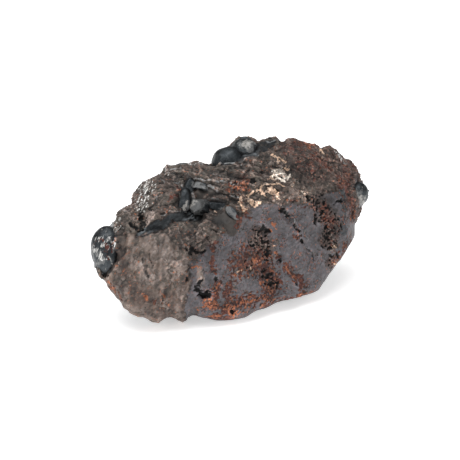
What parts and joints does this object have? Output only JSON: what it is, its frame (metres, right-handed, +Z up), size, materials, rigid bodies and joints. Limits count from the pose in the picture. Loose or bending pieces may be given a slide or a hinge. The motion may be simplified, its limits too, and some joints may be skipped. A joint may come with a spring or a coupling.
{
  "type": "hematite specimen",
  "caption": "Raw piece of kidney iron ore with rounded domes, a rough dark skin and one broken grey face, resting on a flat underside.",
  "frame": {"origin": "on the flat underside, below the middle of the stone as it is seen from the front", "axes": "+X along the stone's length to the viewer's right, +Y away from the viewer, +Z up"},
  "size_m": [0.1115, 0.0763, 0.0608],
  "materials": {
    "hematite": "rough brown-grey skin with glossy black domes and a dull metallic broken face, stained with rust"
  },
  "bodies": {
    "root": {"hematite": "hematite"}
  },
  "joints": []
}
